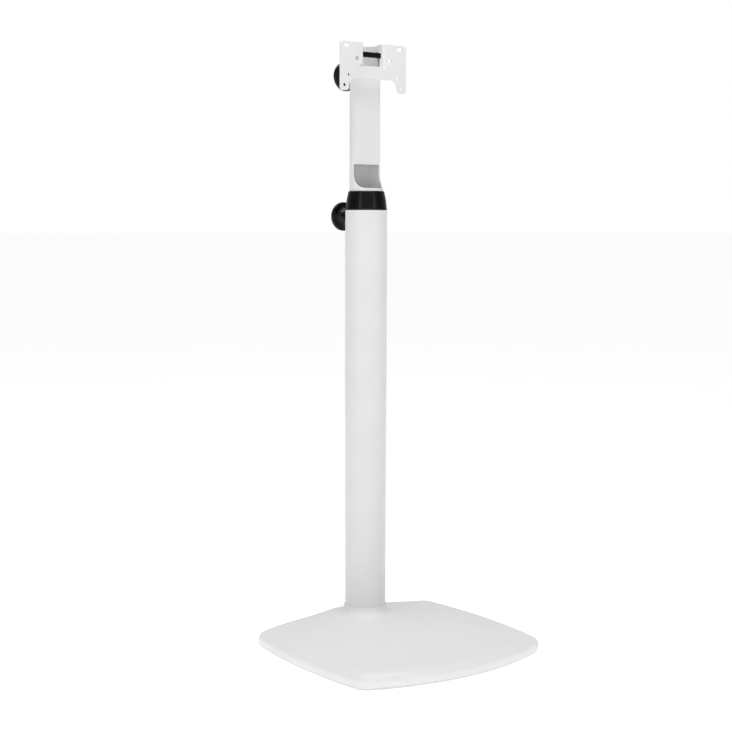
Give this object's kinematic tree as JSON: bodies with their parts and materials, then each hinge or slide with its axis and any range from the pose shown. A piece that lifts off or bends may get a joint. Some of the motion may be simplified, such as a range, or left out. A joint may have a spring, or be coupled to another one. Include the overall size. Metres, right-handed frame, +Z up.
{
  "type": "customer display floor stand",
  "caption": "Height-adjustable floor stand for a customer-facing display: heavy domed base, round column, black collar, telescoping neck and a flat display bracket, clamped by mushroom knobs.",
  "frame": {"origin": "middle of the base's outline, on the floor", "axes": "+Z up, the display faces -Y, +X to the right as seen by someone facing the display's front from -Y"},
  "size_m": [0.337, 0.328, 0.859],
  "materials": {
    "white_steel": "satin white powder coat",
    "white_shell": "satin moulded plastic",
    "black_plastic": "semi-gloss moulded plastic",
    "zinc_steel": "zinc plated",
    "raw_steel": "hot rolled, primed",
    "natural_nylon": "moulded nylon",
    "brass": "turned",
    "rubber": "matt"
  },
  "bodies": {
    "stand": {"base_cover": "white_shell", "base_plate": "raw_steel", "ballast_plate": "raw_steel", "rubber_feet": "rubber", "cover_screws": "zinc_steel", "flange_screws": "zinc_steel", "column_flange": "raw_steel", "column_tube": "white_steel", "collar": "black_plastic", "height_boss": "white_steel"},
    "height_clamp_pad": {"height_pad": "brass"},
    "height_clamp_knob": {"height_knob": "black_plastic", "height_stud": "zinc_steel"},
    "neck": {"neck_tube": "white_steel", "neck_front_plate": "white_steel", "neck_glide": "natural_nylon", "glide_rivets": "zinc_steel", "neck_bush": "black_plastic", "head_boss": "white_steel"},
    "head_clamp_pad": {"head_pad": "brass"},
    "head_clamp_knob": {"head_knob": "black_plastic", "head_stud": "zinc_steel"},
    "head": {"head_spigot": "white_steel", "display_plate": "white_steel"}
  },
  "joints": [
    {"name": "height_slide", "type": "slide", "parent": "stand", "child": "neck", "axis": [0, 0, 1], "range_m": [0, 0.35]},
    {"name": "height_pad_travel", "type": "slide", "parent": "stand", "child": "height_clamp_pad", "axis": [0, 1, 0], "range_m": [0, 0.0025]},
    {"name": "height_knob_turn", "type": "hinge", "parent": "height_clamp_pad", "child": "height_clamp_knob", "pos_m": [0, 0.12, 0.616], "axis": [0, 1, 0], "range_deg": [0, 721]},
    {"name": "head_slide", "type": "slide", "parent": "neck", "child": "head", "axis": [0, 0, 1], "range_m": [0, 0.04]},
    {"name": "head_pad_travel", "type": "slide", "parent": "neck", "child": "head_clamp_pad", "axis": [0, 1, 0], "range_m": [0, 0.0025]},
    {"name": "head_knob_turn", "type": "hinge", "parent": "head_clamp_pad", "child": "head_clamp_knob", "pos_m": [0, 0.12, 0.818], "axis": [0, 1, 0], "range_deg": [0, 721]}
  ],
  "couplings": [
    {"joint": "height_knob_turn", "follows": "height_pad_travel", "rad_per_m": 5026.5},
    {"joint": "head_knob_turn", "follows": "head_pad_travel", "rad_per_m": 5026.5}
  ]
}
